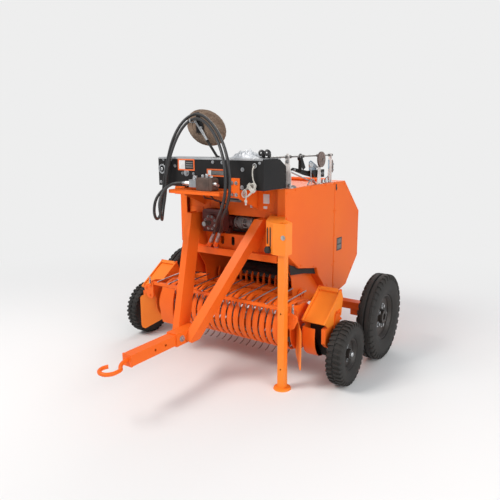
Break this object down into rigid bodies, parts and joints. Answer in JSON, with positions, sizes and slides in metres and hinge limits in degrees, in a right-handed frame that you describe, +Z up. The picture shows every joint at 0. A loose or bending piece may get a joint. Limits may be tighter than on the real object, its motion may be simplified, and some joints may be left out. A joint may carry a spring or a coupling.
{
  "type": "round baler",
  "caption": "Compact towed round baler with an inclined-arm drawbar, tined pickup, roller chamber, lifting tailgate, twine box and parking leg.",
  "frame": {"origin": "on the ground under the middle of the machine's length and width, parked", "axes": "+Z up; -Y forward, the way it is towed; +X the machine's left side"},
  "size_m": [2, 2.485, 1.838],
  "materials": {
    "orange_paint": "gloss coat over sheet and bar",
    "black_paint": "satin",
    "dark_red_paint": "satin, dusty",
    "tyre": "dull black rubber",
    "bare_steel": "rolled steel",
    "zinc_plate": "zinc plated",
    "grey_casting": "grey casting",
    "brown_casting": "brown, rust-tinged casting",
    "dark_steel": "black paint",
    "twine": "wound natural fibre twine",
    "hose_rubber": "smooth black hose",
    "rope": "laid white rope"
  },
  "bodies": {
    "chassis": {"axle": "black_paint", "box_brackets": "orange_paint", "chamber_rollers": "bare_steel", "chamber_walls": "orange_paint", "cross_shaft": "grey_casting", "drawbar": "orange_paint", "feeder_pan": "orange_paint", "front_and_top_skin": "orange_paint", "front_frame": "orange_paint", "gearbox": "dark_red_paint", "guide_arm": "black_paint", "hinge_bar": "orange_paint", "hitch_hook": "orange_paint", "hose_a": "hose_rubber", "hose_b": "hose_rubber", "hose_couplings": "zinc_plate", "hose_post": "dark_steel", "input_shaft": "bare_steel", "leg_bracket": "orange_paint", "rope": "rope", "side_covers": "orange_paint", "tongue": "orange_paint", "twine_ball": "twine", "twine_box": "black_paint", "tying_plates": "zinc_plate", "tying_shafts": "bare_steel", "valve_block": "brown_casting", "valve_fittings": "zinc_plate"},
    "tailgate": {"gate_covers": "orange_paint", "gate_walls": "orange_paint", "gate_skin": "orange_paint", "gate_rollers": "bare_steel"},
    "pickup": {"pickup_frame": "orange_paint", "pickup_bands": "orange_paint", "guard_rods": "zinc_plate", "pickup_shields": "orange_paint", "gauge_arms": "orange_paint"},
    "reel": {"reel_core": "bare_steel", "reel_tines": "zinc_plate"},
    "feeder": {"feeder_rotor": "orange_paint"},
    "main_wheel_left": {"main_tyre_left": "tyre", "main_rim_left": "black_paint"},
    "main_wheel_right": {"main_tyre_right": "tyre", "main_rim_right": "black_paint"},
    "gauge_wheel_left": {"gauge_tyre_left": "tyre", "gauge_rim_left": "black_paint"},
    "gauge_wheel_right": {"gauge_tyre_right": "tyre", "gauge_rim_right": "black_paint"},
    "leg": {"parking_leg": "orange_paint"}
  },
  "joints": [
    {"name": "tailgate_hinge", "type": "hinge", "parent": "chassis", "child": "tailgate", "pos_m": [0, 0.7425, 1.305], "axis": [1, 0, 0], "range_deg": [0, 62]},
    {"name": "pickup_lift", "type": "hinge", "parent": "chassis", "child": "pickup", "pos_m": [0, 0.2975, 0.47], "axis": [-1, 0, 0], "range_deg": [0, 12]},
    {"name": "reel_spin", "type": "hinge", "parent": "pickup", "child": "reel", "pos_m": [0, -0.0325, 0.362], "axis": [1, 0, 0], "continuous": true},
    {"name": "feeder_spin", "type": "hinge", "parent": "chassis", "child": "feeder", "pos_m": [0, 0.2975, 0.47], "axis": [1, 0, 0], "continuous": true},
    {"name": "main_wheel_left_spin", "type": "hinge", "parent": "chassis", "child": "main_wheel_left", "pos_m": [0.9375, 0.5725, 0.32], "axis": [1, 0, 0], "continuous": true},
    {"name": "main_wheel_right_spin", "type": "hinge", "parent": "chassis", "child": "main_wheel_right", "pos_m": [-0.9375, 0.5725, 0.32], "axis": [1, 0, 0], "continuous": true},
    {"name": "gauge_wheel_left_spin", "type": "hinge", "parent": "pickup", "child": "gauge_wheel_left", "pos_m": [0.912, 0.0265, 0.215], "axis": [1, 0, 0], "continuous": true},
    {"name": "gauge_wheel_right_spin", "type": "hinge", "parent": "pickup", "child": "gauge_wheel_right", "pos_m": [-0.912, 0.0265, 0.215], "axis": [1, 0, 0], "continuous": true},
    {"name": "leg_slide", "type": "slide", "parent": "chassis", "child": "leg", "axis": [0, 0, 1], "range_m": [0, 0.24]}
  ]
}
